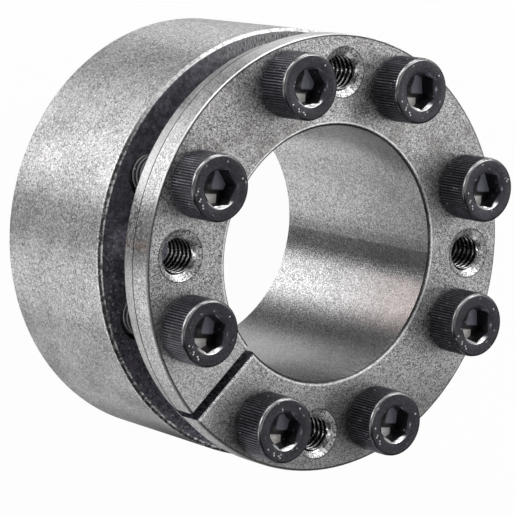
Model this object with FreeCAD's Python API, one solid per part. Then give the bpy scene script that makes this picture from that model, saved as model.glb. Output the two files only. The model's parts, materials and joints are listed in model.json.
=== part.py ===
"""Keyless locking assembly for a 38 mm shaft in a 65 mm hub bore, in millimetres.

A slit, tapered inner ring with a flange slides into a slit outer ring. Eight socket-head cap screws
pass through the flange into the outer ring. Tightening them draws the cones together, which closes
the bore on the shaft and spreads the outer ring in the hub. Four more tapped holes in the flange
take the same screws to push the rings apart again.

The axis is Z. The part stands on the outer ring's back face at Z = 0, with the flange on top, and is
drawn loosened, as it is supplied.
"""
import FreeCAD, Part
import math
import os

# Shaft, and the radial space from the shaft to the 65 mm hub bore that both rings fill
SHAFT_D = 38.0
RADIAL_SPACE = 13.5

# Rings along the axis, drawn as supplied, before the screws are tightened
OUTER_RING_LENGTH = 25.1
TIGHT_GAP = 3.55
DRAW_IN = 1.75
FLANGE_THICKNESS = 7.0
TIGHT_SETBACK = 0.05

# Cones
TAPER_HALF_ANGLE = 5.0
SLEEVE_TIP_WALL = 1.4
TIGHT_CONE_CLEARANCE = 0.05

# Flange rim: a little inside the hub bore, full diameter in front, then a fine turned groove and a
# slight taper behind
FLANGE_RELIEF = 0.1
RIM_LAND = 3.65
RIM_GROOVE_WIDTH = 0.2
RIM_GROOVE_DEPTH = 0.12
RIM_TAPER_DROP = 0.85

# Edges, the outer ring's a flat bevel that is wider on its end faces
OUTER_RING_EDGE = 0.3
OUTER_RING_EDGE_WIDTH = 0.6
OUTER_RING_MOUTH_EDGE = 0.3
FLANGE_EDGE = 0.25
BORE_EDGE = 0.4
SLEEVE_TIP_EDGE = 0.4
FLANGE_ROOT_FILLET = 0.8

# Slits that let the rings close and spread, with their places round the axis in degrees
SLIT_WIDTH = 1.45
INNER_SLIT_ANGLE = 226.0
OUTER_SLIT_ANGLE = 45.0

# Clamp screws, M6 x 30, on one circle with the push-off holes, just inside the middle of the
# outer ring's wall, so that the heads stay on the flange
SCREW_COUNT = 8
FIRST_SCREW_ANGLE = 22.5
PUSH_OFF_COUNT = 4
FIRST_PUSH_OFF_ANGLE = 0.0
BOLT_CIRCLE_INSET = 0.9
THREAD_D = 6.0
SCREW_LENGTH = 30.0
SCREW_HOLE_CLEARANCE = 0.3
THREAD_CLEARANCE = 0.05
SCREW_HOLE_LEAD_IN = 0.15
PUSH_OFF_LEAD_IN = 0.7
LEAD_IN_ANGLE = 120.0
SCREW_TIP_CHAMFER = 0.7

# Screw head, straight-knurled between a plain foot and a rounded rim, and its hexagon socket
HEAD_D = 9.8
HEAD_HEIGHT = 5.85
HEAD_RIM_RADIUS = 0.4
HEAD_SEAT_EDGE = 0.25
KNURL_COUNT = 72
KNURL_DEPTH = 0.16
KNURL_RELIEF = 0.06
KNURL_FOOT = 0.45
SOCKET_ACROSS_FLATS = 5.0
SOCKET_DEPTH = 3.0
SOCKET_LEAD_IN = 0.05
SOCKET_DRILL_D = 3.6
SOCKET_POINT_ANGLE = 120.0

# Turn of each socket as the screws were last left, in degrees, from the first screw round
SOCKET_TURNS = (53.5, 39.0, 8.0, 5.5, 24.0, 16.0, 27.0, 37.0)

AXIS = FreeCAD.Vector(0, 0, 1)
ORIGIN = FreeCAD.Vector(0, 0, 0)

taper = math.tan(math.radians(TAPER_HALF_ANGLE))
loose_gap = TIGHT_GAP + DRAW_IN
flange_back = OUTER_RING_LENGTH + loose_gap
flange_front = flange_back + FLANGE_THICKNESS
sleeve_tip = TIGHT_SETBACK + DRAW_IN
bore_radius = SHAFT_D / 2
outer_radius = bore_radius + RADIAL_SPACE
flange_radius = outer_radius - FLANGE_RELIEF
tapped_radius = THREAD_D / 2
shank_radius = tapped_radius - THREAD_CLEARANCE
loose_cone_clearance = TIGHT_CONE_CLEARANCE + DRAW_IN * taper


def sleeve_radius(z):
    """Radius of the inner ring's cone at height z."""
    return bore_radius + SLEEVE_TIP_WALL + (z - sleeve_tip) * taper


def ring_bore_radius(z):
    """Radius of the outer ring's tapered bore at height z."""
    return sleeve_radius(z) + loose_cone_clearance


mouth_radius = ring_bore_radius(OUTER_RING_LENGTH) + OUTER_RING_MOUTH_EDGE
bolt_circle_radius = (mouth_radius + outer_radius) / 2 - BOLT_CIRCLE_INSET


def revolved(profile):
    """Solid of revolution about Z from a list of (radius, height) corners."""
    corners = [FreeCAD.Vector(radius, 0, height) for radius, height in profile]
    outline = Part.makePolygon(corners + corners[:1])
    return Part.Face(outline).revolve(ORIGIN, AXIS, 360)


def polar(radius, angle, height=0.0):
    """Point at an angle in degrees round the axis."""
    turn = math.radians(angle)
    return FreeCAD.Vector(radius * math.cos(turn), radius * math.sin(turn), height)


def round_circle(solid, radius, height, fillet):
    """Fillet the circular edge of that radius and height."""
    edges = [
        edge
        for edge in solid.Edges
        if isinstance(edge.Curve, Part.Circle)
        and abs(edge.Curve.Radius - radius) < 1e-6
        and abs(edge.Curve.Center.z - height) < 1e-6
    ]
    return solid.makeFillet(fillet, edges)


def slit(angle, top):
    """Tool for a slit: a radial slot from the axis out through the wall, from Z = 0 to the top."""
    reach = 2 * outer_radius
    slot = Part.makeBox(reach, SLIT_WIDTH, top, FreeCAD.Vector(0, -SLIT_WIDTH / 2, 0))
    return slot.rotated(ORIGIN, AXIS, angle)


def tapped_hole(angle, mouth, depth, lead_in_width):
    """Tool for a tapped hole: its bore down from the mouth, with a conical lead-in at the mouth."""
    lead_in_radius = tapped_radius + lead_in_width
    lead_in_depth = lead_in_width / math.tan(math.radians(LEAD_IN_ANGLE / 2))
    centre = polar(bolt_circle_radius, angle, mouth)
    down = FreeCAD.Vector(0, 0, -1)
    bore = Part.makeCylinder(tapped_radius, depth, centre, down)
    lead_in = Part.makeCone(lead_in_radius, tapped_radius, lead_in_depth, centre, down)
    return bore.fuse(lead_in)


def clearance_hole(angle):
    """Tool for a screw's plain hole through the flange."""
    centre = polar(bolt_circle_radius, angle, flange_back)
    return Part.makeCylinder(tapped_radius + SCREW_HOLE_CLEARANCE, FLANGE_THICKNESS, centre, AXIS)


def angles(first, count):
    """Evenly spaced angles round the axis, in degrees."""
    return [first + 360.0 / count * i for i in range(count)]


screw_angles = angles(FIRST_SCREW_ANGLE, SCREW_COUNT)
push_off_angles = angles(FIRST_PUSH_OFF_ANGLE, PUSH_OFF_COUNT)


def make_outer_ring():
    """Outer ring: cylinder outside, cone inside, tapped for the clamp screws and slit once."""
    top = OUTER_RING_LENGTH
    edge = OUTER_RING_EDGE
    face_radius = outer_radius - OUTER_RING_EDGE_WIDTH
    mouth = OUTER_RING_MOUTH_EDGE
    ring = revolved([
        (ring_bore_radius(0) + mouth, 0),
        (face_radius, 0),
        (outer_radius, edge),
        (outer_radius, top - edge),
        (face_radius, top),
        (mouth_radius, top),
        (ring_bore_radius(top - mouth), top - mouth),
        (ring_bore_radius(mouth), mouth),
    ])
    holes = [tapped_hole(angle, top, top, SCREW_HOLE_LEAD_IN) for angle in screw_angles]
    return ring.cut(holes + [slit(OUTER_SLIT_ANGLE, top)])


def make_inner_ring():
    """Inner ring and flange in one piece: shaft bore, cone, screw and push-off holes, one slit."""
    ring = revolved([
        (bore_radius + BORE_EDGE, sleeve_tip),
        (sleeve_radius(sleeve_tip) - SLEEVE_TIP_EDGE, sleeve_tip),
        (sleeve_radius(sleeve_tip + SLEEVE_TIP_EDGE), sleeve_tip + SLEEVE_TIP_EDGE),
        (sleeve_radius(flange_back), flange_back),
        (flange_radius - RIM_TAPER_DROP, flange_back),
        (flange_radius, flange_front - RIM_LAND - RIM_GROOVE_WIDTH),
        (flange_radius - RIM_GROOVE_DEPTH, flange_front - RIM_LAND - RIM_GROOVE_WIDTH / 2),
        (flange_radius, flange_front - RIM_LAND),
        (flange_radius, flange_front - FLANGE_EDGE),
        (flange_radius - FLANGE_EDGE, flange_front),
        (bore_radius + BORE_EDGE, flange_front),
        (bore_radius, flange_front - BORE_EDGE),
        (bore_radius, sleeve_tip + BORE_EDGE),
    ])
    ring = round_circle(ring, sleeve_radius(flange_back), flange_back, FLANGE_ROOT_FILLET)
    screw_holes = [clearance_hole(angle) for angle in screw_angles]
    push_off_holes = [
        tapped_hole(angle, flange_front, FLANGE_THICKNESS, PUSH_OFF_LEAD_IN)
        for angle in push_off_angles
    ]
    return ring.cut(screw_holes + push_off_holes + [slit(INNER_SLIT_ANGLE, flange_front)])


def hexagon_prism(across_flats, bottom, height):
    """Hexagonal prism on the axis, with a corner along X."""
    corner = across_flats / 2 / math.cos(math.radians(30))
    points = [polar(corner, 60 * i, bottom) for i in range(7)]
    return Part.Face(Part.makePolygon(points)).extrude(FreeCAD.Vector(0, 0, height))


def knurl_band():
    """Straight knurl round the head: a prism whose outline zigzags between crest and root."""
    crest = HEAD_D / 2
    root = crest - KNURL_DEPTH
    band = HEAD_HEIGHT - HEAD_RIM_RADIUS - KNURL_FOOT
    half_pitch = 180.0 / KNURL_COUNT
    points = [
        polar(root if i % 2 else crest, half_pitch * i, KNURL_FOOT) for i in range(2 * KNURL_COUNT)
    ]
    outline = Part.makePolygon(points + points[:1])
    return Part.Face(outline).extrude(FreeCAD.Vector(0, 0, band))


def make_screw_blank():
    """Cap screw on the axis, its head seated at Z = 0, with its socket's corner along X."""
    head_radius = HEAD_D / 2 - KNURL_DEPTH - KNURL_RELIEF
    blank = revolved([
        (0, -SCREW_LENGTH),
        (shank_radius - SCREW_TIP_CHAMFER, -SCREW_LENGTH),
        (shank_radius, SCREW_TIP_CHAMFER - SCREW_LENGTH),
        (shank_radius, 0),
        (head_radius - HEAD_SEAT_EDGE, 0),
        (head_radius, HEAD_SEAT_EDGE),
        (head_radius, HEAD_HEIGHT),
        (0, HEAD_HEIGHT),
    ])
    blank = round_circle(blank, head_radius, HEAD_HEIGHT, HEAD_RIM_RADIUS)
    blank = blank.fuse(knurl_band())
    socket_bottom = HEAD_HEIGHT - SOCKET_DEPTH
    flat_radius = SOCKET_ACROSS_FLATS / 2
    corner_radius = flat_radius / math.cos(math.radians(30))
    drill_radius = SOCKET_DRILL_D / 2
    point_depth = drill_radius / math.tan(math.radians(SOCKET_POINT_ANGLE / 2))
    socket_mouth = corner_radius + SOCKET_LEAD_IN
    socket = hexagon_prism(SOCKET_ACROSS_FLATS, socket_bottom, SOCKET_DEPTH)
    point_tip = FreeCAD.Vector(0, 0, socket_bottom - point_depth)
    point = Part.makeCone(0, drill_radius, point_depth, point_tip)
    mouth_depth = socket_mouth - flat_radius
    mouth_centre = FreeCAD.Vector(0, 0, HEAD_HEIGHT - mouth_depth)
    mouth = Part.makeCone(flat_radius, socket_mouth, mouth_depth, mouth_centre)
    return blank.cut([socket, point, mouth])


def place_screw(blank, angle, turn):
    """One screw in its hole, its socket turned as it was last left."""
    screw = blank.rotated(ORIGIN, AXIS, turn)
    return screw.translated(polar(bolt_circle_radius, angle, flange_front))


def write(node, solid):
    """Save one sub-part."""
    solid.exportStep(f"parts/{node}.step")


os.makedirs("parts", exist_ok=True)
write("outer_ring", make_outer_ring())
write("inner_ring", make_inner_ring())
screw_blank = make_screw_blank()
for number, angle in enumerate(screw_angles):
    turn = SOCKET_TURNS[number % len(SOCKET_TURNS)]
    write(f"clamp_screw_{number + 1}", place_screw(screw_blank, angle, turn))
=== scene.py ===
"""Looks of the keyless locking assembly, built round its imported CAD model."""
import json
import math
from functools import partial

import bmesh
import bpy
from mathutils import Matrix, Vector


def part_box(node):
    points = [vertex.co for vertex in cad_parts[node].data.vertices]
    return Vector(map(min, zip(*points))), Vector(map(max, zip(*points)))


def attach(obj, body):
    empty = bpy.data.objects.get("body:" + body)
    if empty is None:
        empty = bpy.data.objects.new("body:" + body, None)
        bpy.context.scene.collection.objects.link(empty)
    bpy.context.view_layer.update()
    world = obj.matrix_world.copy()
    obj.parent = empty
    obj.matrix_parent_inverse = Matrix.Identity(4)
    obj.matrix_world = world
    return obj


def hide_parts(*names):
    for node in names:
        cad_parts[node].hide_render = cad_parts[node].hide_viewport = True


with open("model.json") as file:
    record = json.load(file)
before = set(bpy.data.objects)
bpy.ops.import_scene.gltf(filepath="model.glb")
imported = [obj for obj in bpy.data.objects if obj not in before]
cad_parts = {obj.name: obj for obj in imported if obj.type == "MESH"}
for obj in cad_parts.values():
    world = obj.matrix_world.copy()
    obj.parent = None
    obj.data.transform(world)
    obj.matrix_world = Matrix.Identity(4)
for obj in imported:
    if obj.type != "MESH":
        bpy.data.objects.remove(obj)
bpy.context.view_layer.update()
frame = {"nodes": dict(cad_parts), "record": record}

MM = 0.001

# Sizes of the part, in millimetres
mounts = {mount["name"]: mount for mount in frame["record"]["mounts"]}
BORE_RADIUS = mounts["shaft_bore"]["dims"]["r_mm"]
BOLT_CIRCLE = mounts["push_off_hole_1"]["pos_m"][0] / MM
OUTER_RING_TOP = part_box("outer_ring")[1][2] / MM
FLANGE_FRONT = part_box("inner_ring")[1][2] / MM
FLANGE_THICKNESS = 7.0
FLANGE_BACK = FLANGE_FRONT - FLANGE_THICKNESS
FLANGE_RADIUS = 32.4
RIM_LINE = FLANGE_FRONT - 3.75
OUTER_FACE_RADIUS = 31.9
BEVEL_START = OUTER_FACE_RADIUS - 0.02
INNER_SLIT_ANGLE = 226.0
OUTER_SLIT_ANGLE = 45.0
SLIT_HALF_WIDTH = 0.725
FIRST_SCREW_ANGLE = 22.5
SCREW_COUNT = 8
FIRST_PUSH_OFF_ANGLE = 0.0
PUSH_OFF_COUNT = 4
SCREW_HOLE_LEAD_IN = 0.15
PUSH_OFF_LEAD_IN = 0.7
LEAD_IN_SLOPE = math.tan(math.radians(60))

# Where marks start, in millimetres: on the flange's rim, from the axis; in a slit, along it; on a
# head's side, from the screw's axis; and in a socket, from the head's seat up
RIM_START = 31.2
SLIT_MARKS_START = 5.0
HEAD_SIDE_START = 4.0
SOCKET_START = 1.0

# Screw, from its head's seat
SCREW_LENGTH = 30.0
HEAD_HEIGHT = 5.77
HEAD_RADIUS = 4.68
KNURL_ROOT = 4.72
KNURL_DEPTH = 0.18
KNURL_COUNT = 72
KNURL_FOOT = 0.45
KNURL_FADE = 0.1
RIM_RADIUS = 4.84
RIM_WIDTH = 0.46
RIM_HEIGHT = 0.42
RIM_STEPS = 7
SEAT_EDGE = 0.25
SOCKET_FLAT = 2.5
SOCKET_LEAD_IN = 0.05
SOCKET_MOUTH = SOCKET_FLAT / math.cos(math.radians(30)) + SOCKET_LEAD_IN
SOCKET_DEPTH = 3.0
SOCKET_FLOOR = HEAD_HEIGHT - SOCKET_DEPTH
SOCKET_DRILL = 1.8
SOCKET_TURNS = (53.5, 39.0, 8.0, 5.5, 24.0, 16.0, 27.0, 37.0)
TIP_EDGE = 0.15
NECK_HEIGHT = -0.35
NECK_EDGE = 0.1
SOCKET_EDGE_WIDTH = 0.06
SOCKET_EDGE_DEPTH = 0.02
# Height of the knurl at the steps across one of its ribs, as shares of its depth
KNURL_WAVE = (1.0, 0.8, 0.2, 0.0, 0.2, 0.8)
STEPS_PER_KNURL = len(KNURL_WAVE)

# Small raised dots on each head: angle after the first and distance from the axis. The first is at
# DOTS_START, and moves on by DOTS_SHIFT from head to head. The profile gives shares of radius and height.
DOTS = ((-18, 3.95), (0, 3.72), (3, 3.98), (15, 3.8), (20, 4.02), (176, 3.85))
DOTS_START = 205
DOTS_SHIFT = 17
DOT_RADIUS = 0.17
DOT_HEIGHT = 0.078
# Height above the face from which a dot's top is painted bright as a highlight
DOT_LIT_FROM = 0.035
DOT_PROFILE = ((1.0, -0.3), (1.0, 0.0), (0.75, 0.7), (0.35, 1.0))
DOT_SIDES = 12

# Threads: pitch, where the screw's thread starts and ends below its head's seat, crest and root radii of
# the screw and of the tapped holes, slope of a flank, and how far a ridge's base is sunk
PITCH = 1.0
SCREW_CREST = 2.95
SCREW_ROOT = 2.387
SCREW_THREAD_START = -SCREW_LENGTH + 0.4
SCREW_THREAD_END = -0.9
RUN_OUT = 0.3
TIP_CHAMFER = 0.7
TAPPED_CREST = 2.459
TAPPED_ROOT = 3.0
FLANK = math.tan(math.radians(30))
SUNK = 0.02
STEPS_PER_TURN = 40

# Direction and depth below the flange's face at which a push-off thread's crest starts, and the depth
# down to which its start is painted bright as a highlight
PUSH_OFF_CREST_ANGLE = 349.0
PUSH_OFF_CREST_DEPTH = 0.82
MOUTH_DEPTH = 0.72

# Edges of a piece that bend more than this, in degrees, stay sharp
SHARP_ANGLE = 28.0


def spaced(first, count):
    """Evenly spaced angles round the axis, in degrees."""
    return [first + 360.0 / count * n for n in range(count)]


screw_angles = spaced(FIRST_SCREW_ANGLE, SCREW_COUNT)
push_off_angles = spaced(FIRST_PUSH_OFF_ANGLE, PUSH_OFF_COUNT)


def make_object(name, bm, material, body, slot_name, *replaced):
    """Finish a mesh in millimetres as a smooth piece that rides on a body."""
    bmesh.ops.recalc_face_normals(bm, faces=bm.faces)
    bmesh.ops.scale(bm, vec=(MM, MM, MM), verts=bm.verts)
    mesh = bpy.data.meshes.new(name)
    bm.to_mesh(mesh)
    bm.free()
    for polygon in mesh.polygons:
        polygon.use_smooth = True
    mesh.set_sharp_from_angle(angle=math.radians(SHARP_ANGLE))
    mesh.materials.append(material)
    piece = bpy.data.objects.new(name, mesh)
    bpy.context.scene.collection.objects.link(piece)
    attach(piece, body)
    if replaced:
        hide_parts(*replaced)


def ridge(bm, centre, start, end, phase, section, shape, fade_steps=0):
    """Helical thread ridge round an upright axis. The section is a list of (radius, offset along the
    axis), and shape gives the radius and height that a point of the plain ridge ends at."""
    count = int(round((end - start) / PITCH * STEPS_PER_TURN))
    base = section[0][0]
    previous = None
    for i in range(count + 1):
        angle = phase + 2 * math.pi * i / STEPS_PER_TURN
        middle = start + PITCH * i / STEPS_PER_TURN
        fade = min(1.0, i / fade_steps, (count - i) / fade_steps) if fade_steps else 1.0
        ring = []
        for radius, offset in section:
            r, height = shape(base + (radius - base) * fade, middle + offset)
            point = Vector((r * math.cos(angle), r * math.sin(angle), height))
            ring.append(bm.verts.new(point + centre))
        if previous:
            for k in range(len(ring)):
                m = (k + 1) % len(ring)
                bm.faces.new((previous[k], previous[m], ring[m], ring[k]))
        else:
            bm.faces.new(ring)
        previous = ring
    bm.faces.new(previous)


def thread_section(base, crest, crest_half):
    """Section of a thread ridge from its sunk base to its crest and back, with 60 degree flanks."""
    middle = (base + crest) / 2
    corners = [(base, 1.0), (middle, 0.5), (crest, 0.0)]
    half = abs(base - crest) * FLANK
    lower = [(radius, -crest_half - half * share) for radius, share in corners]
    upper = [(radius, crest_half + half * share) for radius, share in reversed(corners)]
    return lower + upper


def screw_section():
    """Section of the screw's thread: its base sunk in the core, its crest at the outer diameter."""
    return thread_section(SCREW_ROOT - SUNK, SCREW_CREST, PITCH / 16)


def tapped_section():
    """Section of a tapped hole's thread: its base sunk in the wall, its crest towards the axis."""
    return thread_section(TAPPED_ROOT + SUNK, TAPPED_CREST, PITCH / 8)


def tapped_thread(bm, angle, bottom, top, lead_in, phase_of):
    """Thread of one tapped hole, cut off by the lead-in's cone above and by the face below."""
    turn = math.radians(angle)
    centre = Vector((BOLT_CIRCLE * math.cos(turn), BOLT_CIRCLE * math.sin(turn), 0))
    section = tapped_section()
    cone_foot = top - lead_in / LEAD_IN_SLOPE
    start = bottom + section[0][1]

    def shape(radius, height):
        cone = TAPPED_ROOT + (height - cone_foot) * LEAD_IN_SLOPE
        if height > cone_foot:
            cone += SUNK
        return max(radius, cone), max(height, bottom)

    ridge(bm, centre, start, cone_foot, phase_of(start), section, shape)


def screw_helix_phase(number, height):
    """Angle at which the middle of a tapped groove for that screw passes a height."""
    seat = FLANGE_FRONT + SCREW_THREAD_START
    turns = (height - PITCH / 2 - seat) / PITCH
    return math.radians(SOCKET_TURNS[number]) + 2 * math.pi * turns


def push_off_phase(height):
    """Angle at which the middle of a push-off hole's thread passes a height."""
    crest = FLANGE_FRONT - PUSH_OFF_CREST_DEPTH
    return math.radians(PUSH_OFF_CREST_ANGLE) + 2 * math.pi * (height - crest) / PITCH


def hexagon(angle):
    """Distance from the axis to the socket's wall, with a corner at angle 0."""
    return SOCKET_FLAT / math.cos(math.radians(math.degrees(angle) % 60 - 30))


def plain(radius, height):
    """Row with one radius and height all round."""
    return lambda step, angle: (radius, height)


def knurled(height):
    """Row through the knurl's waves, a little uneven in depth."""
    def row(step, angle):
        wave = KNURL_WAVE[step % STEPS_PER_KNURL]
        wobble = 0.9 + 0.1 * math.sin(5 * angle) * math.sin(13 * angle + 1)
        return KNURL_ROOT + KNURL_DEPTH * wave * wobble, height
    return row


def socket_lead_in(step, angle):
    """Row where the socket's cone meets its hexagon."""
    wall = hexagon(angle)
    return wall, HEAD_HEIGHT - (SOCKET_MOUTH - wall)


def socket_foot(step, angle):
    """Row where the socket's hexagon meets its floor."""
    return hexagon(angle), SOCKET_FLOOR


def screw_rows():
    """Rows of the screw's skin from the tip's rim up over the head and down into the socket.
    Each row is a function of the step round the axis and its angle, which gives (radius, height)."""
    shoulder = HEAD_HEIGHT - RIM_HEIGHT
    rows = [
        plain(SCREW_ROOT - TIP_EDGE, -SCREW_LENGTH),
        plain(SCREW_ROOT, -SCREW_LENGTH + TIP_EDGE),
        plain(SCREW_ROOT, SCREW_THREAD_END - RUN_OUT),
        plain(SCREW_CREST - NECK_EDGE, NECK_HEIGHT),
        plain(SCREW_CREST, 0),
        plain(HEAD_RADIUS - SEAT_EDGE, 0),
        plain(HEAD_RADIUS, SEAT_EDGE),
        plain(HEAD_RADIUS, KNURL_FOOT),
        knurled(KNURL_FOOT + KNURL_FADE),
        knurled(shoulder - KNURL_FADE),
    ]
    for k in range(RIM_STEPS + 1):
        turn = math.radians(90 * k / RIM_STEPS)
        radius = RIM_RADIUS - RIM_WIDTH * (1 - math.cos(turn))
        rows.append(plain(radius, shoulder + RIM_HEIGHT * math.sin(turn)))
    rows += [
        plain(SOCKET_MOUTH + SOCKET_EDGE_WIDTH, HEAD_HEIGHT),
        plain(SOCKET_MOUTH, HEAD_HEIGHT - SOCKET_EDGE_DEPTH),
        socket_lead_in,
        socket_foot,
        plain(SOCKET_DRILL, SOCKET_FLOOR),
    ]
    return rows


def revolve(bm, rows, steps, tip_height, drilled_height):
    """Closed skin through rows round the axis, from its tip up and back down to a drilled bottom."""
    rings = []
    for row in rows:
        ring = []
        for step in range(steps):
            angle = 2 * math.pi * step / steps
            radius, height = row(step, angle)
            ring.append(bm.verts.new((radius * math.cos(angle), radius * math.sin(angle), height)))
        rings.append(ring)
    for lower, upper in zip(rings, rings[1:]):
        for step in range(steps):
            after = (step + 1) % steps
            bm.faces.new((lower[step], lower[after], upper[after], upper[step]))
    tip = bm.verts.new((0, 0, tip_height))
    drilled = bm.verts.new((0, 0, drilled_height))
    for step in range(steps):
        after = (step + 1) % steps
        bm.faces.new((tip, rings[0][after], rings[0][step]))
        bm.faces.new((drilled, rings[-1][step], rings[-1][after]))


def make_screw(number, material):
    """One cap screw: knurled head, hexagon socket with a drilled bottom, and a threaded shank."""
    bm = bmesh.new()
    drilled_height = SOCKET_FLOOR - SOCKET_DRILL * FLANK
    revolve(bm, screw_rows(), KNURL_COUNT * STEPS_PER_KNURL, -SCREW_LENGTH, drilled_height)

    def shape(radius, height):
        chamfer = SCREW_CREST - TIP_CHAMFER + height + SCREW_LENGTH
        return min(radius, max(chamfer, SCREW_ROOT - SUNK)), height

    fade = STEPS_PER_TURN / 4
    ridge(bm, Vector(), SCREW_THREAD_START, SCREW_THREAD_END, 0.0, screw_section(), shape, fade)
    dots(bm, number)
    turn = math.radians(SOCKET_TURNS[number])
    spot = math.radians(screw_angles[number])
    place = Matrix.Translation((BOLT_CIRCLE * math.cos(spot), BOLT_CIRCLE * math.sin(spot), FLANGE_FRONT))
    bmesh.ops.transform(bm, matrix=place @ Matrix.Rotation(turn, 4, "Z"), verts=bm.verts)
    name = f"clamp_screw_{number + 1}"
    make_object(f"{name}_visual", bm, material, name, "screw_steel", name)


def dots(bm, number):
    """Small plain raised dots on the head's face."""
    first = DOTS_START - SOCKET_TURNS[number] + DOTS_SHIFT * (number % 3)
    for offset, distance in DOTS:
        spot = math.radians(first + offset)
        centre = Vector((distance * math.cos(spot), distance * math.sin(spot), HEAD_HEIGHT))
        rings = []
        for radius, height in DOT_PROFILE:
            ring = []
            for k in range(DOT_SIDES):
                angle = math.radians(360 / DOT_SIDES * k)
                step = Vector((math.cos(angle), math.sin(angle), 0)) * DOT_RADIUS * radius
                ring.append(bm.verts.new(centre + step + Vector((0, 0, DOT_HEIGHT * height))))
            rings.append(ring)
        for lower, upper in zip(rings, rings[1:]):
            for k in range(DOT_SIDES):
                after = (k + 1) % DOT_SIDES
                bm.faces.new((lower[k], lower[after], upper[after], upper[k]))
        bm.faces.new(rings[0][::-1])
        bm.faces.new(rings[-1])


class Graph:
    """Shader nodes of a material or world, with short ways to add them."""

    def __init__(self, tree):
        self.tree = tree

    def add(self, kind, inputs=None, **settings):
        """Add a node, with its settings, and with inputs set or linked by name or number."""
        node = self.tree.nodes.new("ShaderNode" + kind)
        for key, value in settings.items():
            setattr(node, key, value)
        for key, value in (inputs or {}).items():
            self.feed(node.inputs[key], value)
        return node

    def feed(self, socket, value):
        """Set or link one input."""
        if isinstance(value, bpy.types.NodeSocket):
            self.tree.links.new(value, socket)
        else:
            socket.default_value = value

    def calc(self, operation, *values, clamp=False):
        """Result of a maths node."""
        inputs = dict(enumerate(values))
        return self.add("Math", inputs, operation=operation, use_clamp=clamp).outputs[0]

    def total(self, *values):
        """Sum of several values."""
        result = values[0]
        for value in values[1:]:
            result = self.calc("ADD", result, value)
        return result

    def product(self, *values):
        """Product of several values."""
        result = values[0]
        for value in values[1:]:
            result = self.calc("MULTIPLY", result, value)
        return result

    def sway(self, value, amount):
        """A value between 0 and 1 as a swing of that amount round nought."""
        return self.calc("MULTIPLY_ADD", value, amount, -amount / 2)

    def noise(self, vector, scale, detail, roughness=0.5):
        """Noise between about 0.3 and 0.7."""
        inputs = {"Vector": vector, "Scale": scale, "Detail": detail, "Roughness": roughness}
        return self.add("TexNoise", inputs).outputs["Fac"]

    def cells(self, vector, scale):
        """A random value between 0 and 1 for each small cell."""
        colour = self.add("TexVoronoi", {"Vector": vector, "Scale": scale}).outputs["Color"]
        return self.add("SeparateColor", {0: colour}).outputs[0]

    def spread(self, value, low, high, to_low=0.0, to_high=1.0):
        """Map a range of values to another, clamped, with soft ends."""
        inputs = {0: value, 1: low, 2: high, 3: to_low, 4: to_high}
        return self.add("MapRange", inputs, interpolation_type="SMOOTHSTEP").outputs[0]

    def above(self, value, edge, soft=0.02):
        """1 where the value is above the edge, 0 below it."""
        return self.spread(value, edge - soft, edge + soft)

    def below(self, value, edge, soft=0.02):
        """1 where the value is below the edge, 0 above it."""
        return self.spread(value, edge + soft, edge - soft)

    def band(self, value, low, high, soft=0.02):
        """1 between the two edges, 0 outside them."""
        return self.product(self.above(value, low, soft), self.below(value, high, soft))

    def mix(self, factor, first, second):
        """Mix of two colours."""
        node = self.add("Mix", data_type="RGBA")
        for key, value in (("Factor_Float", factor), ("A_Color", first), ("B_Color", second)):
            self.feed(next(s for s in node.inputs if s.identifier == key), value)
        return next(s for s in node.outputs if s.identifier == "Result_Color")

    def vector(self, *values):
        """Vector from up to three values."""
        return self.add("CombineXYZ", dict(enumerate(values))).outputs[0]

    def length(self, *values):
        """Length of the vector from up to three values."""
        return self.add("VectorMath", {0: self.vector(*values)}, operation="LENGTH").outputs["Value"]


def grey(value, tint=(1.0, 1.0, 1.0)):
    """Colour of a grey, with a slight tint."""
    return (value * tint[0], value * tint[1], value * tint[2], 1.0)


# Tints of a grey: bare steel, painted shade in the gap and slits and oil on the rim, black oxide, brown
# stains, straw bloom and the painted highlight on a socket floor
STEEL_TINT = (1.0, 0.985, 0.995)
VIOLET = (1.0, 0.95, 1.16)
INK = (1.0, 1.0, 1.22)
WARM = (1.12, 0.98, 0.86)
STRAW = (1.18, 0.97, 0.92)
SOCKET_HIGHLIGHT_TINT = (1.0, 0.96, 0.92)

# Light and dark greys of each ring's speckle, colour of rust, how metallic bare steel is, and how far
# its sheen is turned from the direction round the axis, in whole turns
OUTER_TONES = (0.74, 0.17)
INNER_TONES = (0.72, 0.16)
RUST = (0.36, 0.2, 0.13, 1.0)
METAL = 0.9
SHEEN_TURN = 0.25

# Scales of textures, to the millimetre: bare steel's speckle, flecks, clouds, patches and grain, and grit
SPECKLE_SCALE = 7.5
FLECK_SCALE = 4.2
CLOUD_SCALE = 1.4
PATCH_SCALE = 0.16
GRAIN_SCALE = 5.6
GRIT_SCALE = 3.6

# Lines left by turning: how often they change across, to the millimetre, and round, to the radian
LINES_ACROSS = 5.0
LINES_ROUND = 6.0

# How near to a face, in millimetres, a point counts as on it
NEAR = 0.03

# Parts of a socket's floor with painted light, a lit part and a bright highlight spot, in millimetres from
# the screw's axis along x and y
SOCKET_LIT_FROM_X = 0.9
SOCKET_LIT_FROM_Y = -0.5
SOCKET_HIGHLIGHT_X = (-1.2, 1.4)
SOCKET_HIGHLIGHT_BELOW_Y = -1.15

# Places round the axis with marks of their own, some of them painted highlights and painted shade: first
# and last angle and softness, in degrees
OUTER_DARKER = (202, 232, 6)
OUTER_SHADED = (238, 276, 8)
OUTER_TICKED = (60, 116, 12)
OUTER_NICKED = (138, 250, 8)
BORE_LIT = (270, 304, 8)
BORE_BLOOM = (320, 347, 3)
FACE_DARK = (236, 340, 8)
FACE_LIT = (196, 232, 8)
RIM_OILED = (166, 180)
RIM_SMUDGED = (136, 140)
RIM_LIT = (143, 163, 5)
RIM_DARKER = (166, 182, 3)
RIM_DARKER_PARTLY = (214, 230, 6)
RIM_SMEARED_TOP = (56, 86, 5)
RIM_SMEARED_SIDE = (113, 127, 4)
RIM_RUSTY = (176.5, 179)


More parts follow.
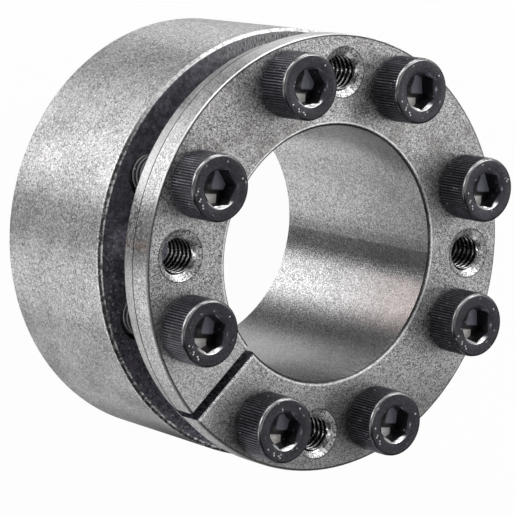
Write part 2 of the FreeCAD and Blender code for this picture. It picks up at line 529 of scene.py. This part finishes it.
def new_material(name):
    """Material with only its shader and output."""
    material = bpy.data.materials.new(name)
    material.use_nodes = True
    return material, Graph(material.node_tree), material.node_tree.nodes["Principled BSDF"]


class Place:
    """Where a point of a piece is in the part's frame, in millimetres and radians."""

    def __init__(self, g):
        self.g = g
        where = g.add("TexCoord").outputs["Object"]
        self.vector = g.add("VectorMath", {0: where, "Scale": 1 / MM}, operation="SCALE").outputs[0]
        self.x, self.y, self.z = g.add("SeparateXYZ", {0: self.vector}).outputs
        self.radius = g.length(self.x, self.y)
        self.angle = g.calc("ARCTAN2", self.y, self.x)

    def from_nearest_axis(self, first, count):
        """Distance to the nearest of the upright axes spaced on the bolt circle, and its two parts."""
        g = self.g
        half = math.pi / count
        folded = g.calc("WRAP", g.calc("SUBTRACT", self.angle, math.radians(first)), half, -half)
        spot = g.calc("SUBTRACT", self.angle, folded)
        across = g.calc("SUBTRACT", self.x, g.product(g.calc("COSINE", spot), BOLT_CIRCLE))
        up = g.calc("SUBTRACT", self.y, g.product(g.calc("SINE", spot), BOLT_CIRCLE))
        return g.length(across, up), across, up

    def sector(self, first, last, soft=1.0):
        """1 between two angles round the axis, in degrees."""
        turned = self.g.calc("FRACT", self.g.calc("DIVIDE", self.angle, 2 * math.pi))
        return self.g.band(turned, first / 360, last / 360, soft / 360)

    def slit(self, angle):
        """Distance along a slit from the axis, and distance across it from its middle."""
        turn = math.radians(angle)
        g = self.g
        along = g.calc("ADD", g.product(self.x, math.cos(turn)), g.product(self.y, math.sin(turn)))
        across = g.calc("SUBTRACT", g.product(self.y, math.cos(turn)), g.product(self.x, math.sin(turn)))
        return along, across


class Skin:
    """Surface being worked out: where its points are, and its colour, which each kind of skin starts."""

    def __init__(self, g):
        self.g = g
        self.place = Place(g)

    def tint(self, share, colour):
        """Cover a share of the surface with a colour."""
        self.colour = self.g.mix(share, self.colour, colour)


class Steel(Skin):
    """Bare turned steel: its speckle, then its colour, roughness, height and sheen."""

    def __init__(self, g, light, dark):
        super().__init__(g)
        place = self.place
        self.speckle = g.cells(place.vector, SPECKLE_SCALE)
        flecks = g.cells(place.vector, FLECK_SCALE)
        cloud = g.noise(place.vector, CLOUD_SCALE, 3.0, 0.6)
        patches = g.noise(place.vector, PATCH_SCALE, 4.0, 0.6)
        round_axis = g.vector(
            g.product(place.radius, LINES_ACROSS),
            g.product(place.angle, LINES_ROUND),
            g.product(place.z, LINES_ACROSS),
        )
        lines = g.noise(round_axis, 1.0, 3.0, 0.65)
        mottle = g.total(g.sway(self.speckle, 1.5), g.sway(cloud, 0.5))
        tone = g.total(mottle, g.sway(patches, 0.9), g.sway(lines, 0.45), 0.5)
        share = g.calc("MULTIPLY", tone, 1.0, clamp=True)
        self.colour = g.mix(share, grey(dark, STEEL_TINT), grey(light, STEEL_TINT))
        glints = g.above(flecks, 0.955, 0.005)
        self.tint(g.product(glints, 0.55), grey(0.95))
        pits = g.below(flecks, 0.03, 0.005)
        self.tint(g.product(pits, 0.7), grey(0.05))
        self.rough = g.calc("MULTIPLY_ADD", mottle, 0.12, 0.43)
        bumps = g.noise(place.vector, GRAIN_SCALE, 2.0, 0.6)
        self.height = g.total(g.sway(bumps, 1.3), g.sway(lines, 0.5), g.product(pits, -0.4))
        turned = g.spread(place.z, FLANGE_FRONT - 0.02, FLANGE_FRONT - 0.3, 0.35, 1.0)
        self.sheen = g.product(turned, g.spread(patches, 0.35, 0.6, 0.95, 0.8))

    def smooth(self, share, rough):
        """Bring the roughness nearer to a value over a share of the surface."""
        change = self.g.product(share, self.g.calc("SUBTRACT", rough, self.rough))
        self.rough = self.g.calc("ADD", self.rough, change)

    def finish(self, shader):
        """Link all that was worked out to the shader, with the sheen of a turned skin."""
        g = self.g
        g.feed(shader.inputs["Base Color"], self.colour)
        g.feed(shader.inputs["Roughness"], self.rough)
        shader.inputs["Metallic"].default_value = METAL
        g.feed(shader.inputs["Anisotropic"], self.sheen)
        shader.inputs["Anisotropic Rotation"].default_value = SHEEN_TURN
        tangent = g.add("Tangent", direction_type="RADIAL", axis="Z")
        g.feed(shader.inputs["Tangent"], tangent.outputs[0])
        bump = g.add("Bump", {"Height": self.height, "Strength": 0.6, "Distance": 0.03 * MM})
        g.feed(shader.inputs["Normal"], bump.outputs[0])


def mark_slit(steel, angle):
    """Walls of a slit painted dark as shade, with fine saw marks through the wall. Gives where the slit's
    side of the axis is, and the distance across the slit."""
    g, place = steel.g, steel.place
    along, across = place.slit(angle)
    this_side = g.above(along, SLIT_MARKS_START)
    between = g.below(g.calc("ABSOLUTE", across), SLIT_HALF_WIDTH + NEAR, 0.01)
    marks = g.noise(g.vector(g.product(along, 4.0), g.product(place.z, 0.6)), 1.0, 2.0)
    # Painted shade on the slit's walls, with saw marks
    wall = g.mix(g.spread(marks, 0.42, 0.7), grey(0.05, VIOLET), grey(0.25, VIOLET))
    steel.tint(g.product(between, this_side), wall)
    return this_side, across


def gap_shade(g, place):
    """Colour of the gap between the rings: painted shade, lighter towards negative y, with dark and bright
    grit.
    """
    cloud = g.noise(place.vector, 1.1, 4.0, 0.65)
    gap_shade_tone = g.mix(g.spread(cloud, 0.35, 0.7), grey(0.12, VIOLET), grey(0.3, VIOLET))
    gap_shade_tone = g.mix(g.spread(place.y, -4.0, -20.0, 0.0, 0.35), gap_shade_tone, grey(0.5, VIOLET))
    grains = g.cells(place.vector, GRIT_SCALE)
    rough = g.spread(place.y, 8.0, -10.0, 0.3, 1.0)
    gap_shade_tone = g.mix(g.product(g.below(grains, 0.25), rough, 0.6), gap_shade_tone, grey(0.03, VIOLET))
    return g.mix(g.product(g.above(grains, 0.94), rough, 0.5), gap_shade_tone, grey(0.9))


def mark_outer_wall(steel):
    """Outer ring's wall: darker on one stretch, and painted shade towards its front on another."""
    g, place = steel.g, steel.place
    steel.tint(g.product(place.sector(*OUTER_DARKER), 0.2), grey(0.1))
    # Painted shade towards the front of the wall on one stretch
    shaded = g.product(place.sector(*OUTER_SHADED), g.spread(place.z, 3.0, OUTER_RING_TOP, 0.3, 0.9))
    steel.tint(shaded, grey(0.03))


def mark_outer_bevel(steel):
    """Outer ring's front bevel, painted: below, a bright highlight on its inner half and shade on its
    outer half; above, shade beside a ragged bright highlight at its outer edge.
    """
    g, place = steel.g, steel.place
    edge_noise = g.noise(place.vector, 1.7, 2.0, 0.6)
    on_bevel = g.product(g.above(place.z, OUTER_RING_TOP - 0.32), g.above(place.radius, BEVEL_START))
    outer_half = g.above(place.radius, OUTER_FACE_RADIUS + 0.22, 0.06)
    # Painted highlight on the lower inner half, painted shade on the lower outer half
    bevel_highlight = g.mix(g.spread(edge_noise, 0.42, 0.58), grey(0.15), grey(1.0))
    painted_lighting = g.mix(g.spread(edge_noise, 0.5, 0.65), grey(0.05), grey(0.35))
    # Above, painted shade beside a ragged painted highlight at the outer edge
    upper = g.spread(place.y, 12.0, 22.0)
    ragged = g.mix(g.spread(edge_noise, 0.34, 0.5), grey(0.6), grey(1.0))
    lit_bevel = g.mix(g.above(place.radius, OUTER_FACE_RADIUS + 0.1, 0.05), grey(0.04), ragged)
    bevel = g.mix(g.product(upper, 0.85), g.mix(outer_half, bevel_highlight, painted_lighting), lit_bevel)
    steel.tint(g.product(on_bevel, 0.92), bevel)


def mark_outer_front(steel):
    """Outer ring's front face: painted shade of the gap, lighter with fine ticks on one stretch."""
    g, place = steel.g, steel.place
    on_front = g.product(g.above(place.z, OUTER_RING_TOP - NEAR, 0.01), g.below(place.radius, BEVEL_START))
    # Painted shade of the gap over the front face
    steel.tint(g.product(on_front, 0.94), gap_shade(g, place))
    ticks = g.noise(g.vector(g.product(place.angle, 260.0), g.product(place.radius, 1.2)), 1.0, 2.0)
    ticked = g.product(on_front, place.sector(*OUTER_TICKED), 0.8)
    steel.tint(ticked, g.mix(g.spread(ticks, 0.36, 0.62), grey(0.06), grey(0.45)))


def mark_outer_edges(steel):
    """Outer ring's wall at its ends: nicks near the front bevel, and painted shade along the back edge."""
    g, place = steel.g, steel.place
    near_bevel = g.product(
        g.band(place.z, OUTER_RING_TOP - 0.75, OUTER_RING_TOP - 0.3, 0.05),
        g.above(place.radius, OUTER_FACE_RADIUS),
    )
    nicks = g.above(g.noise(place.vector, 3.4, 2.0, 0.7), 0.54, 0.03)
    steel.tint(g.product(near_bevel, nicks, place.sector(*OUTER_NICKED), 0.8), grey(1.0))
    # Painted shade along the back edge
    on_back = g.product(g.below(place.z, 0.3, 0.1), g.above(place.radius, OUTER_FACE_RADIUS))
    steel.tint(g.product(on_back, 0.6), grey(0.1))


def make_outer_steel(name):
    """Outer ring: marked wall, bevel and edges with painted highlight and shade, painted shade in the gap,
    and painted shade in its tapped holes and slit.
    """
    material, g, shader = new_material(name)
    steel = Steel(g, *OUTER_TONES)
    mark_outer_wall(steel)
    mark_outer_bevel(steel)
    mark_outer_front(steel)
    mark_outer_edges(steel)
    # Painted shade in the tapped holes
    hole, _, _ = steel.place.from_nearest_axis(FIRST_SCREW_ANGLE, SCREW_COUNT)
    steel.tint(g.below(hole, TAPPED_ROOT + NEAR, 0.01), grey(0.03))
    mark_slit(steel, OUTER_SLIT_ANGLE)
    steel.finish(shader)
    return material


def mark_bore(steel, in_bore):
    """Bore: finer and smoother, darker towards its mouth, with painted light on a lower stretch, and a
    straw bloom.
    """
    g, place = steel.g, steel.place
    bored = g.mix(steel.speckle, grey(0.15, STEEL_TINT), grey(0.85, STEEL_TINT))
    steel.tint(g.product(in_bore, 0.5), bored)
    steel.tint(g.product(in_bore, g.spread(place.z, 4.0, FLANGE_FRONT, 0.0, 0.5)), grey(0.12))
    # Painted light on a lower stretch of the bore
    painted_light_patch = g.product(in_bore, place.sector(*BORE_LIT), g.spread(place.z, 40.0, 10.0))
    steel.tint(g.product(painted_light_patch, 0.6), grey(0.85, STEEL_TINT))
    bloom = g.product(in_bore, place.sector(*BORE_BLOOM), g.spread(place.z, 16.0, FLANGE_FRONT))
    steel.tint(g.product(bloom, 0.45), grey(0.42, STRAW))
    steel.smooth(in_bore, 0.21)


def mark_face(steel, on_face, in_bore):
    """Flange outside the bore: brown stains above, and on its face painted shade below and painted light
    by the slit.
    """
    g, place = steel.g, steel.place
    stain = g.spread(g.noise(place.vector, 0.22, 5.0, 0.7), 0.5, 0.72)
    upper = g.spread(place.y, 2.0, 24.0, 0.25, 0.75)
    steel.tint(g.product(stain, upper, g.below(in_bore, 0.5)), grey(0.17, WARM))
    # Painted shade on the face below
    lower = g.product(g.spread(place.y, -16.0, -24.0, 0.0, 0.5), place.sector(*FACE_DARK))
    steel.tint(g.product(lower, on_face), grey(0.1))
    # Painted light on the face by the slit
    painted_light_patch = g.product(place.sector(*FACE_LIT), on_face, 0.3)
    steel.tint(painted_light_patch, g.mix(steel.speckle, grey(0.6), grey(1.0)))


def mark_rim(steel, edge_noise):
    """Flange's rim: smooth, with a painted highlight above, darker and rusty in places, oiled and smeared
    in others on its taper, with a painted highlight on one stretch of the taper, and a thin line of
    painted shade where the taper meets the land."""
    g, place = steel.g, steel.place
    on_rim = g.product(g.above(place.radius, RIM_START, 0.1), g.below(place.z, FLANGE_FRONT - 0.26))
    # Painted highlight on the rim above
    steel.tint(g.product(on_rim, g.spread(place.y, 25.0, 32.0, 0.1, 0.65)), grey(0.85, STEEL_TINT))
    steel.smooth(g.product(on_rim, 0.6), 0.3)
    scuffs = g.spread(g.noise(place.vector, 2.0, 3.0, 0.8), 0.48, 0.54)
    on_taper = g.below(place.z, RIM_LINE + 0.3, 0.3)
    oiled = g.total(place.sector(*RIM_OILED), g.product(place.sector(*RIM_SMUDGED), 0.7))
    steel.tint(g.product(on_rim, on_taper, oiled, 0.85), g.mix(scuffs, grey(0.01, VIOLET), grey(0.7)))
    # Painted highlight on one stretch of the taper
    steel.tint(g.product(on_rim, on_taper, place.sector(*RIM_LIT), 0.35), grey(0.95))
    darkened = g.total(place.sector(*RIM_DARKER), g.product(place.sector(*RIM_DARKER_PARTLY), 0.6))
    steel.tint(g.product(on_rim, darkened, g.spread(scuffs, 0.0, 1.0, 0.7, 0.15)), grey(0.1))
    smeared = g.total(place.sector(*RIM_SMEARED_TOP), place.sector(*RIM_SMEARED_SIDE))
    steel.tint(g.product(on_rim, on_taper, smeared, 0.4), grey(0.1))
    rust = g.product(place.sector(*RIM_RUSTY), g.spread(edge_noise, 0.35, 0.6))
    steel.tint(g.product(on_rim, rust, 0.35), RUST)
    # Thin line of painted shade where the taper meets the land
    line = g.band(place.z, RIM_LINE - 0.12, RIM_LINE + 0.12, 0.05)
    steel.tint(g.product(on_rim, line, 0.85), grey(0.05))


def mark_face_edges(steel, edge_noise):
    """Edges of the flange's face, painted: the outer one a highlight, strongest above, beside a line of
    shade; the bore's with a line of shade and a line of highlight.
    """
    g, place = steel.g, steel.place
    # Painted highlight at the outer edge, strongest above, beside a line of painted shade
    on_edge = g.product(g.above(place.z, FLANGE_FRONT - 0.3), g.above(place.radius, FLANGE_RADIUS - 0.36))
    outermost = g.above(place.radius, FLANGE_RADIUS - 0.14, 0.04)
    lit = g.product(outermost, g.spread(place.y, 4.0, 12.0, 0.2, 1.0))
    steel.tint(g.product(on_edge, 0.9), g.mix(lit, grey(0.05), grey(1.0)))
    # Painted shade and painted highlight at the bore's mouth
    at_mouth = g.above(place.z, FLANGE_FRONT - 0.45, 0.03)
    dark_lip = g.band(place.radius, BORE_RADIUS + 0.02, BORE_RADIUS + 0.27, 0.03)
    steel.tint(g.product(at_mouth, dark_lip, 0.9), grey(0.04))
    bright_lip = g.band(place.radius, BORE_RADIUS + 0.36, BORE_RADIUS + 0.62, 0.05)
    steel.tint(g.product(at_mouth, bright_lip, g.spread(edge_noise, 0.3, 0.6, 0.3, 0.9)), grey(1.0))


def mark_back(steel):
    """Flange's back and the sleeve behind it: painted shade of the gap."""
    g, place = steel.g, steel.place
    between = g.band(place.radius, BORE_RADIUS + 0.5, RIM_START, 0.2)
    in_gap = g.product(g.below(place.z, FLANGE_BACK + NEAR, 0.01), between)
    # Painted shade of the gap over the flange's back and the sleeve
    steel.tint(g.product(in_gap, 0.94), gap_shade(g, place))


def mark_push_off_holes(steel, on_face, edge_noise):
    """Push-off holes: countersinks with bright cutting marks, lines of painted shade round them, and
    painted shade on their round walls.
    """
    g, place = steel.g, steel.place
    hole, beside, above = place.from_nearest_axis(FIRST_PUSH_OFF_ANGLE, PUSH_OFF_COUNT)
    mouth = TAPPED_ROOT + PUSH_OFF_LEAD_IN
    sunk = g.product(g.below(hole, mouth, 0.01), g.below(place.z, FLANGE_FRONT - 0.005, 0.005))
    round_hole = g.calc("ARCTAN2", above, beside)
    streaks = g.noise(g.vector(g.product(round_hole, 9.0), g.product(hole, 1.5)), 1.0, 3.0, 0.7)
    chatter = g.noise(place.vector, 3.0, 3.0, 0.7)
    chatter = g.total(g.product(streaks, 0.5), g.product(chatter, 0.5))
    bright = g.mix(g.spread(chatter, 0.42, 0.53), grey(0.1), grey(1.0))
    steel.tint(g.product(sunk, 0.9), bright)
    steel.smooth(sunk, 0.38)
    steel.height = g.total(steel.height, g.product(sunk, g.sway(chatter, 3.0)))
    steel.sheen = g.product(steel.sheen, g.calc("SUBTRACT", 1.0, sunk))
    # Painted shade round each countersink
    outline = g.band(hole, mouth - 0.02, mouth + 0.15, 0.03)
    steel.tint(g.product(outline, on_face, g.spread(edge_noise, 0.35, 0.6, 0.4, 1.0)), grey(0.05))
    # Painted shade on the hole's wall
    wall = g.product(g.below(hole, TAPPED_ROOT + 0.02, 0.01), g.below(place.z, FLANGE_FRONT - 0.42))
    steel.tint(wall, grey(0.02))


def mark_inner_slit(steel, on_face, edge_noise):
    """Inner ring's slit, with a ragged painted highlight on its lip along one side, over a burr."""
    g = steel.g
    this_side, across = mark_slit(steel, INNER_SLIT_ANGLE)
    # Painted highlight along the slit's lip
    lip = g.band(across, SLIT_HALF_WIDTH + 0.02, SLIT_HALF_WIDTH + 0.5, 0.05)
    lip = g.product(lip, this_side, on_face, g.spread(edge_noise, 0.35, 0.55, 0.6, 1.0))
    steel.tint(lip, grey(1.0))
    steel.smooth(lip, 0.25)
    ragged = g.spread(edge_noise, 0.4, 0.55, -4.0, -14.0)
    burr = g.product(g.band(across, 0.5, 0.95, 0.14), this_side, ragged)
    steel.height = g.total(steel.height, burr)


def make_inner_steel(name):
    """Inner ring: finer bore with painted light, stained face with painted light and shade, rim and edges
    with painted highlights and shade, painted shade on its back, bright countersinks, and a slit with a
    painted highlight."""
    material, g, shader = new_material(name)
    steel = Steel(g, *INNER_TONES)
    place = steel.place
    in_bore = g.below(place.radius, BORE_RADIUS + 0.1, 0.05)
    on_face = g.above(place.z, FLANGE_FRONT - NEAR, 0.01)
    edge_noise = g.noise(place.vector, 1.9, 2.0, 0.6)
    mark_bore(steel, in_bore)
    mark_face(steel, on_face, in_bore)
    mark_rim(steel, edge_noise)
    mark_face_edges(steel, edge_noise)
    mark_back(steel)
    mark_push_off_holes(steel, on_face, edge_noise)
    mark_inner_slit(steel, on_face, edge_noise)
    steel.finish(shader)
    return material


def make_thread_steel(name, first, count):
    """Tapped threads: crests and their start by the mouth painted bright as highlights, flanks painted
    near black as shade.
    """
    material, g, shader = new_material(name)
    place = Place(g)
    hole, _, _ = place.from_nearest_axis(first, count)
    # Crests and the start by the mouth painted bright as highlights, the rest painted near black as shade
    crest = g.below(hole, TAPPED_CREST + 0.06, 0.05)
    at_mouth = g.above(place.z, FLANGE_FRONT - MOUTH_DEPTH, 0.03)
    flank = g.mix(g.noise(place.vector, 3.0, 2.0), grey(0.004), grey(0.03))
    painted_lighting = g.mix(g.spread(g.noise(place.vector, 2.2, 3.0, 0.7), 0.38, 0.62), grey(0.35), grey(1.0))
    g.feed(shader.inputs["Base Color"], g.mix(g.calc("MAXIMUM", crest, at_mouth), flank, painted_lighting))
    g.feed(shader.inputs["Roughness"], g.spread(g.noise(place.vector, 4.0, 2.0), 0.3, 0.7, 0.2, 0.36))
    shader.inputs["Metallic"].default_value = METAL
    return material


class BlackSteel(Skin):
    """Black oxide steel of the screws: where a point is on its screw, then its colour."""

    def __init__(self, g):
        super().__init__(g)
        place = self.place
        self.axis, self.across, self.up = place.from_nearest_axis(FIRST_SCREW_ANGLE, SCREW_COUNT)
        self.height = g.calc("SUBTRACT", place.z, FLANGE_FRONT)
        self.speckle = g.cells(place.vector, 5.0)
        self.patches = g.noise(place.vector, 0.5, 3.0, 0.5)
        tone = g.calc("ADD", g.product(self.speckle, 0.5), g.product(self.patches, 0.7))
        self.colour = g.mix(g.spread(tone, 0.3, 0.9), grey(0.018, INK), grey(0.06, INK))


def mark_head(steel):
    """Speckled top of the head, and its knurled side: wear on the crests, roots painted near black as
    shade.
    """
    g = steel.g
    on_top = g.above(steel.height, HEAD_HEIGHT - NEAR, 0.01)
    steel.tint(g.product(on_top, 0.6), g.mix(steel.speckle, grey(0.03, INK), grey(0.055, INK)))
    along_knurl = g.band(steel.height, KNURL_FOOT, HEAD_HEIGHT - RIM_HEIGHT - 0.02)
    on_side = g.product(along_knurl, g.above(steel.axis, HEAD_SIDE_START))
    crest = g.spread(steel.axis, KNURL_ROOT + 0.6 * KNURL_DEPTH, KNURL_ROOT + 0.95 * KNURL_DEPTH)
    wear = g.spread(g.noise(steel.place.vector, 1.2, 3.0), 0.35, 0.65, 0.25, 1.0)
    steel.tint(g.product(on_side, crest, wear), grey(0.19, INK))
    # Knurl roots painted near black as shade
    root = g.spread(steel.axis, KNURL_ROOT + 0.45 * KNURL_DEPTH, KNURL_ROOT + 0.1 * KNURL_DEPTH)
    steel.tint(g.product(on_side, root, 0.8), grey(0.006))


def mark_socket(steel):
    """Near-black socket, with painted light on its floor: a lit part and a bright highlight spot. Gives
    where the floor is.
    """
    g, across, up = steel.g, steel.across, steel.up
    inside = g.below(steel.axis, SOCKET_MOUTH, 0.01)
    in_socket = g.product(inside, g.band(steel.height, SOCKET_START, HEAD_HEIGHT - 0.42))
    steel.tint(in_socket, grey(0.03, INK))
    floor = g.product(g.below(steel.height, SOCKET_FLOOR + 0.02, 0.01), in_socket)
    # Painted light on the floor: a lit part and a bright highlight spot
    lit = g.product(g.above(across, SOCKET_LIT_FROM_X, 0.15), g.above(up, SOCKET_LIT_FROM_Y, 0.15))
    tone = g.mix(lit, grey(0.02, INK), grey(0.6, INK))
    floor_highlight = g.product(g.below(up, SOCKET_HIGHLIGHT_BELOW_Y, 0.1), g.band(across, *SOCKET_HIGHLIGHT_X, 0.1))
    steel.tint(floor, g.mix(floor_highlight, tone, grey(1.0, SOCKET_HIGHLIGHT_TINT)))
    return floor


def mark_lead_in(steel):
    """Socket's lead-in, with a painted highlight on its lower side. Gives where it is."""
    g = steel.g
    near_top = g.band(steel.height, HEAD_HEIGHT - 0.45, HEAD_HEIGHT - 0.01, 0.01)
    lead_in = g.product(g.band(steel.axis, SOCKET_FLAT - 0.05, SOCKET_MOUTH + NEAR), near_top)
    steel.tint(lead_in, g.mix(g.spread(steel.up, -1.7, -2.2), grey(0.12, INK), grey(0.95)))
    return lead_in


def mark_round(steel):
    """Head's rounded rim, with a painted highlight on its upper left. Gives where it is."""
    g = steel.g
    outermost = g.above(steel.axis, RIM_RADIUS - 0.36)
    on_round = g.product(outermost, g.above(steel.height, HEAD_HEIGHT - RIM_HEIGHT))
    upper_left = g.spread(g.calc("SUBTRACT", steel.up, g.product(steel.across, 0.5)), 0.5, 4.5)
    rim_highlight = g.product(on_round, upper_left, g.spread(steel.patches, 0.3, 0.6, 0.4, 0.9))
    steel.tint(rim_highlight, grey(0.42))
    return on_round


def mark_small_highlights(steel):
    """Painted highlights on the dots' tops and on the thread crests, and a few bright specks."""
    g = steel.g
    on_dot = g.above(steel.height, HEAD_HEIGHT + DOT_LIT_FROM, 0.01)
    steel.tint(g.product(on_dot, 0.8), grey(0.7))
    on_thread = g.product(g.below(steel.height, -0.5), g.above(steel.axis, SCREW_CREST - 0.12, 0.05))
    steel.tint(g.product(on_thread, 0.8), grey(0.4))
    specks = g.above(g.cells(steel.place.vector, GRIT_SCALE), 0.992, 0.003)
    steel.tint(g.product(specks, 0.6), grey(0.5))


def make_black_steel(name):
    """Black oxide steel, oiled: wear on knurl crests, painted shade in knurl roots, painted highlights on
    rim, lead-in, dots and thread crests, and a near-black socket with painted light on its floor.
    """
    material, g, shader = new_material(name)
    steel = BlackSteel(g)
    place = steel.place
    mark_head(steel)
    floor = mark_socket(steel)
    lead_in = mark_lead_in(steel)
    on_round = mark_round(steel)
    mark_small_highlights(steel)
    g.feed(shader.inputs["Base Color"], steel.colour)
    polished = g.calc("MAXIMUM", on_round, lead_in)
    rough = g.calc("MULTIPLY_ADD", g.noise(place.vector, 3.0, 3.0, 0.6), 0.3, 0.18)
    g.feed(shader.inputs["Roughness"], g.product(rough, g.spread(polished, 0.0, 1.0, 1.0, 0.65)))
    g.feed(shader.inputs["Metallic"], g.spread(floor, 0.0, 1.0, 0.6, 0.0))
    grain = g.noise(place.vector, 4.0, 3.0, 0.6)
    bump = g.add("Bump", {"Height": grain, "Strength": 0.4, "Distance": 0.02 * MM})
    g.feed(shader.inputs["Normal"], bump.outputs[0])
    return material


# Floor: its grey and roughness, its side in metres, and how white the camera sees it
FLOOR_GREY = 0.8
FLOOR_ROUGHNESS = 0.9
FLOOR_SIZE = 6.0
FLOOR_WHITE_SHARE = 0.97


def make_floor():
    """Plain pale floor, which the camera sees nearly white."""
    material, g, shader = new_material("floor_pale")
    shader.inputs["Base Color"].default_value = grey(FLOOR_GREY)
    shader.inputs["Roughness"].default_value = FLOOR_ROUGHNESS
    white = g.add("Emission", {"Color": grey(1.0), "Strength": 1.0})
    rays = g.add("LightPath")
    share = g.calc("MULTIPLY", rays.outputs["Is Camera Ray"], FLOOR_WHITE_SHARE)
    blend = g.add("MixShader", {0: share, 1: shader.outputs[0], 2: white.outputs[0]})
    output = next(n for n in g.tree.nodes if n.type == "OUTPUT_MATERIAL")
    g.tree.links.new(blend.outputs[0], output.inputs["Surface"])
    bpy.ops.mesh.primitive_plane_add(size=FLOOR_SIZE, location=(0, 0, 0))
    floor = bpy.context.object
    floor.name = "floor"
    floor.data.materials.append(material)
    floor.visible_glossy = False


# Camera as fitted to the photo: its place in millimetres, the directions of the picture's right and
# upper sides, and the focal length and width of the picture in pixels
CAMERA_PLACE = Vector((-235.781, 41.188, 334.034))
CAMERA_RIGHT = Vector((0.80271567, 0.07072541, 0.59215325))
CAMERA_UP = Vector((0.00965685, 0.99127102, -0.13148581))
FOCAL_LENGTH = 2591.25
PICTURE_WIDTH = 515
SENSOR_WIDTH = 36.0


def make_camera():
    """Camera at the photograph's place, with the photograph's roll."""
    lens = bpy.data.cameras.new("camera")
    lens.sensor_width = SENSOR_WIDTH
    lens.lens = SENSOR_WIDTH * FOCAL_LENGTH / PICTURE_WIDTH
    lens.clip_start = 0.01
    camera = bpy.data.objects.new("camera", lens)
    bpy.context.scene.collection.objects.link(camera)
    sides = Matrix((CAMERA_RIGHT, CAMERA_UP, CAMERA_RIGHT.cross(CAMERA_UP)))
    camera.matrix_world = Matrix.Translation(CAMERA_PLACE * MM) @ sides.transposed().to_4x4()
    bpy.context.scene.camera = camera


# Glow of the studio's walls below the part, which only its sheen shows: compass direction from +X
# in degrees, and strength
WALL_GLOW = (
    (0, 0.7),
    (12, 0.55),
    (31, 0.6),
    (51, 0.5),
    (60, 0.75),
    (80, 0.4),
    (100, 0.05),
    (112, 0.5),
    (118, 0.75),
    (126, 2.0),
    (136, 2.4),
    (148, 1.75),
    (158, 1.9),
    (163, 1.6),
    (168, 0.12),
    (193, 0.3),
    (200, 0.95),
    (220, 1.1),
    (240, 1.1),
    (260, 0.85),
    (280, 1.3),
    (300, 0.2),
    (330, 0.0),
    (343, 0.05),
    (352, 0.5),
    (360, 0.7),
)
GLOW_SCALE = 4.0


def make_world():
    """Studio surroundings: walls whose glow changes softly round the part below its rim."""
    world = bpy.data.worlds.new("studio")
    world.use_nodes = True
    g = Graph(world.node_tree)
    way = g.add("SeparateXYZ", {0: g.add("TexCoord").outputs["Generated"]}).outputs
    azimuth = g.calc("ARCTAN2", way[1], way[0])
    turn = g.calc("FRACT", g.calc("DIVIDE", azimuth, 2 * math.pi))
    ramp = g.add("ValToRGB", {0: turn})
    stops = ramp.color_ramp.elements
    stops[0].position, stops[1].position = 0.0, 1.0
    for direction, _ in WALL_GLOW[1:-1]:
        stops.new(direction / 360)
    for stop, (_, strength) in zip(stops, WALL_GLOW):
        stop.color = grey(strength / GLOW_SCALE)
    below = g.calc("LESS_THAN", way[2], 0.0)
    background = world.node_tree.nodes["Background"]
    g.feed(background.inputs["Color"], ramp.outputs[0])
    g.feed(background.inputs["Strength"], g.product(below, GLOW_SCALE))
    bpy.context.scene.world = world


# Soft lamps: azimuth from +X and elevation in degrees, and power in watts
LAMPS = (
    (80, 12, 0.71),
    (120, 12, 0.66),
    (160, 12, 0.84),
    (200, 12, 0.63),
    (240, 12, 0.24),
    (280, 12, 0.11),
    (10, 45, 0.27),
    (50, 45, 0.56),
    (90, 45, 0.18),
    (290, 45, 0.10),
    (330, 45, 0.15),
    (0, 80, 0.18),
)
LAMP_DISTANCE = 0.5
LAMP_TARGET = Vector((0, 0, 0.02))
LAMP_SIZE = 0.2

# Small bright lamps, for the highlights on the screws and countersinks: azimuth, elevation and power
SPARKLE_LAMPS = (
    (46, 12, 0.12),
    (108, 33, 0.08),
    (196, 67, 0.08),
)
SPARKLE_SIZE = 0.07


def softbox(name, azimuth, elevation, size, power):
    """Square softbox aimed at the part: azimuth from +X, in degrees, and size in metres."""
    lamp = bpy.data.lights.new(name, "AREA")
    lamp.size = size
    lamp.energy = power
    box = bpy.data.objects.new(name, lamp)
    bpy.context.scene.collection.objects.link(box)
    turn, tilt = math.radians(azimuth), math.radians(elevation)
    way = Vector((math.cos(turn) * math.cos(tilt), math.sin(turn) * math.cos(tilt), math.sin(tilt)))
    box.location = way * LAMP_DISTANCE
    box.rotation_euler = (LAMP_TARGET - box.location).to_track_quat("-Z", "Y").to_euler()


outer_steel = make_outer_steel("outer_ring_steel")
inner_steel = make_inner_steel("inner_ring_steel")
screw_hole_steel = make_thread_steel("screw_hole_steel", FIRST_SCREW_ANGLE, SCREW_COUNT)
push_off_steel = make_thread_steel("push_off_hole_steel", FIRST_PUSH_OFF_ANGLE, PUSH_OFF_COUNT)
black_steel = make_black_steel("screw_black_steel")

for node_name, material in (("outer_ring", outer_steel), ("inner_ring", inner_steel)):
    node = frame["nodes"][node_name]
    node.data.materials.clear()
    node.data.materials.append(material)

for number in range(SCREW_COUNT):
    make_screw(number, black_steel)

threads = bmesh.new()
for number, angle in enumerate(screw_angles):
    phase_of = partial(screw_helix_phase, number)
    tapped_thread(threads, angle, 0.0, OUTER_RING_TOP, SCREW_HOLE_LEAD_IN, phase_of)
make_object("outer_ring_threads", threads, screw_hole_steel, "outer_ring", "outer_ring_steel")

threads = bmesh.new()
for angle in push_off_angles:
    tapped_thread(threads, angle, FLANGE_BACK, FLANGE_FRONT, PUSH_OFF_LEAD_IN, push_off_phase)
make_object("push_off_threads", threads, push_off_steel, "inner_ring", "inner_ring_steel")

make_floor()
make_camera()
make_world()
for number, (azimuth, elevation, power) in enumerate(LAMPS):
    softbox(f"lamp_{number + 1}", azimuth, elevation, LAMP_SIZE, power)
for number, (azimuth, elevation, power) in enumerate(SPARKLE_LAMPS):
    softbox(f"sparkle_lamp_{number + 1}", azimuth, elevation, SPARKLE_SIZE, power)

bpy.context.scene.view_settings.view_transform = "Standard"
